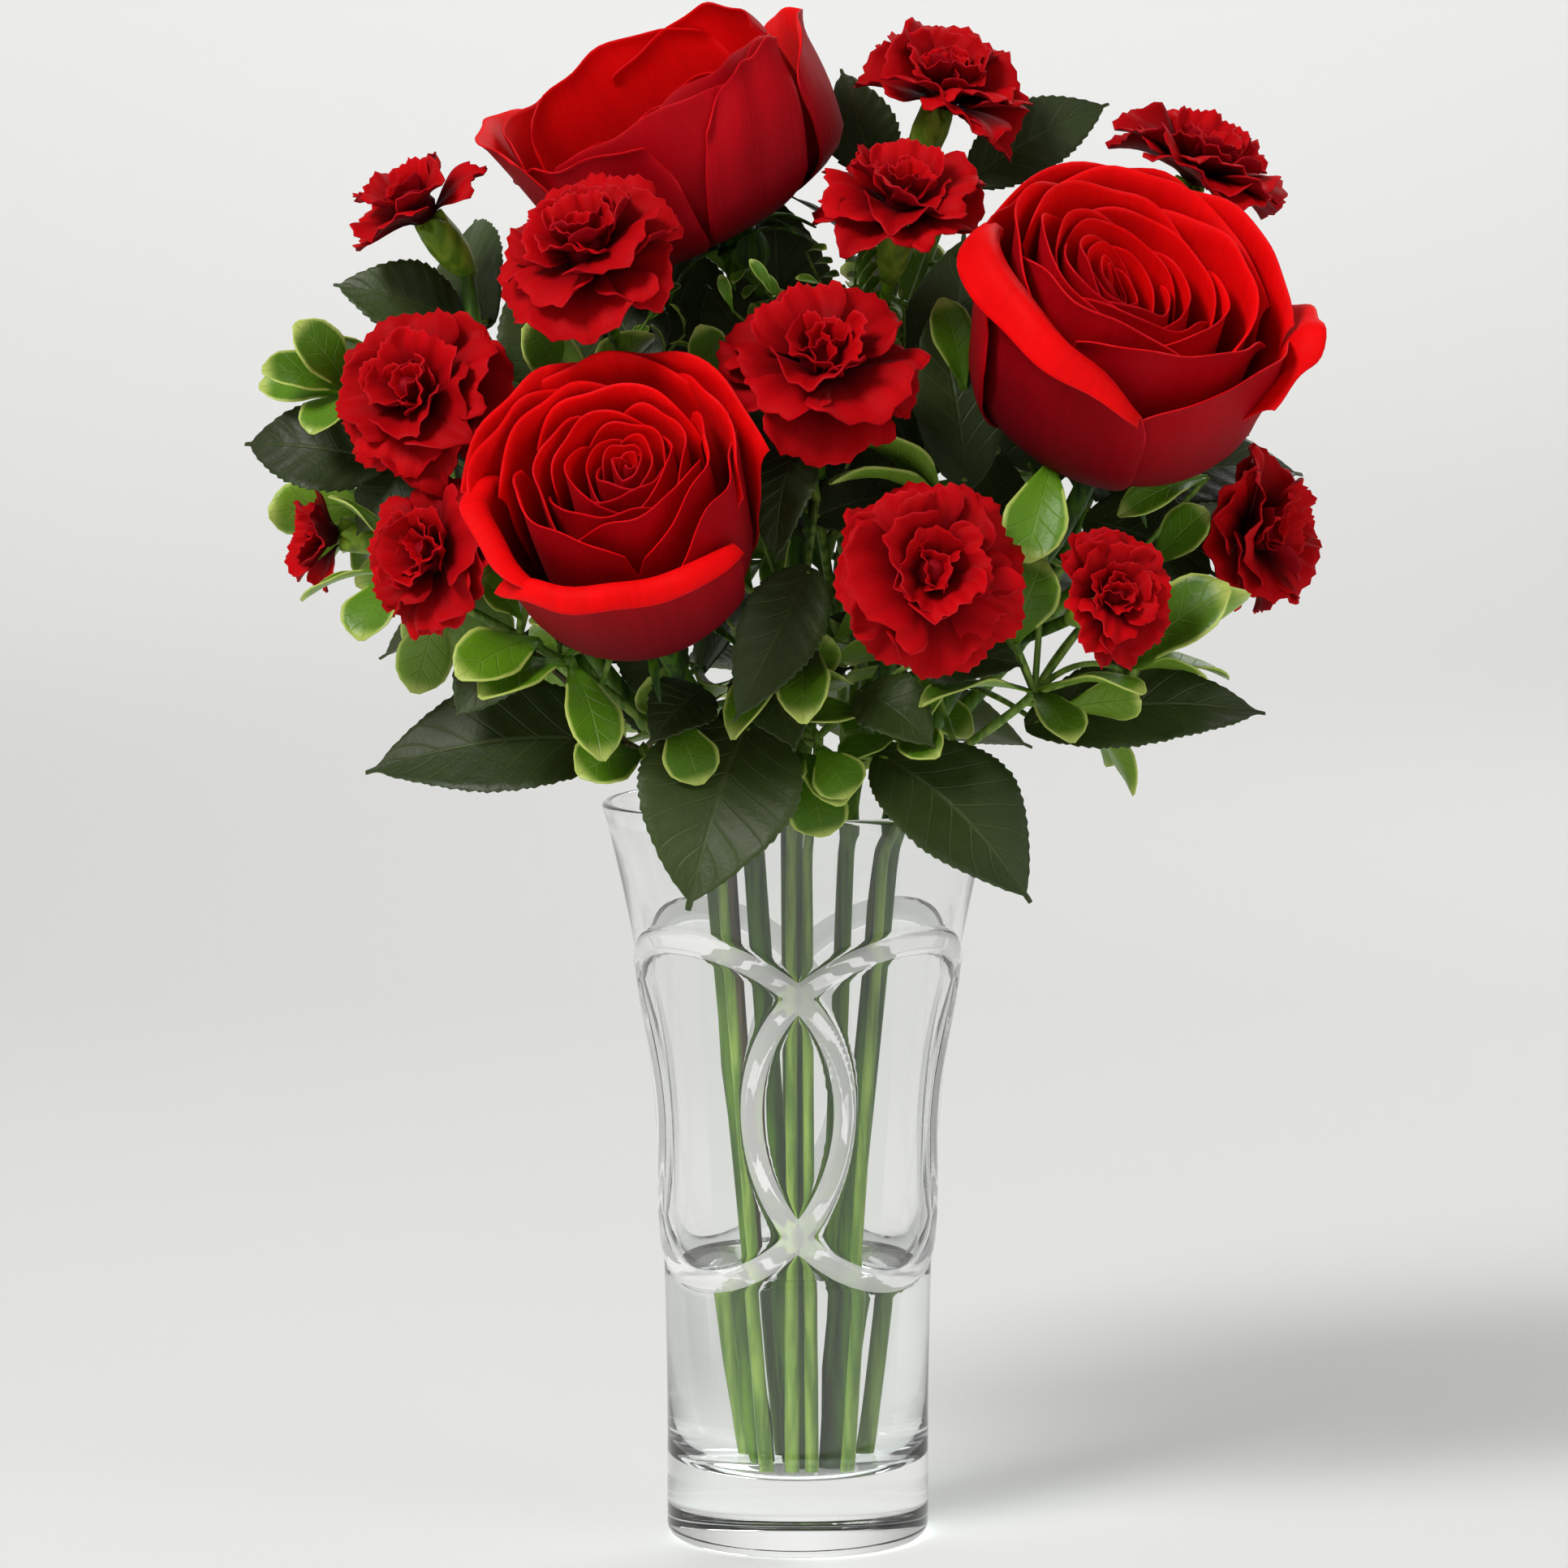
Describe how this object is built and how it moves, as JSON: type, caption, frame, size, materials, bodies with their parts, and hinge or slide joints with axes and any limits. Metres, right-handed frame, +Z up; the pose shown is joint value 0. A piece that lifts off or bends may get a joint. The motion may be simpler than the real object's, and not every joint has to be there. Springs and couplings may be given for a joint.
{
  "type": "roses in a vase",
  "caption": "Clear flared glass vase of water holding a dense bouquet of large roses, small ruffled carnations, big toothed leaves and small glossy leaves.",
  "frame": {"origin": "middle of the vase's flat underside", "axes": "+Z up along the vase's axis, -Y towards the side that the picture shows, +X to the right"},
  "size_m": [0.2669, 0.2073, 0.3881],
  "materials": {
    "glass": "polished",
    "water": "polished",
    "rose_petal": "satin",
    "carnation_petal": "satin",
    "rose_green": "satin",
    "carnation_green": "satin",
    "toothed_leaf": "satin",
    "glossy_leaf": "satin"
  },
  "bodies": {
    "root": {"vase": "glass", "water": "water", "rose_bloom_top": "rose_petal", "rose_bloom_right": "rose_petal", "rose_bloom_front": "rose_petal", "rose_stem_top": "rose_green", "rose_stem_right": "rose_green", "rose_stem_front": "rose_green", "carnation_01": "carnation_petal", "carnation_02": "carnation_petal", "carnation_03": "carnation_petal", "carnation_04": "carnation_petal", "carnation_05": "carnation_petal", "carnation_06": "carnation_petal", "carnation_07": "carnation_petal", "carnation_08": "carnation_petal", "carnation_09": "carnation_petal", "carnation_10": "carnation_petal", "carnation_11": "carnation_petal", "carnation_12": "carnation_petal", "carnation_13": "carnation_petal", "carnation_14": "carnation_petal", "carnation_spray_left": "carnation_green", "carnation_spray_top": "carnation_green", "carnation_spray_middle": "carnation_green", "carnation_spray_right": "carnation_green", "carnation_spray_back": "carnation_green", "toothed_leaves_low": "toothed_leaf", "toothed_leaves_left": "toothed_leaf", "toothed_leaves_front": "toothed_leaf", "toothed_leaves_centre": "toothed_leaf", "toothed_leaves_right": "toothed_leaf", "toothed_leaves_back": "toothed_leaf", "glossy_leaves_low": "glossy_leaf", "glossy_leaves_left": "glossy_leaf", "glossy_leaves_front": "glossy_leaf", "glossy_leaves_right": "glossy_leaf", "glossy_leaves_back": "glossy_leaf"}
  },
  "joints": []
}
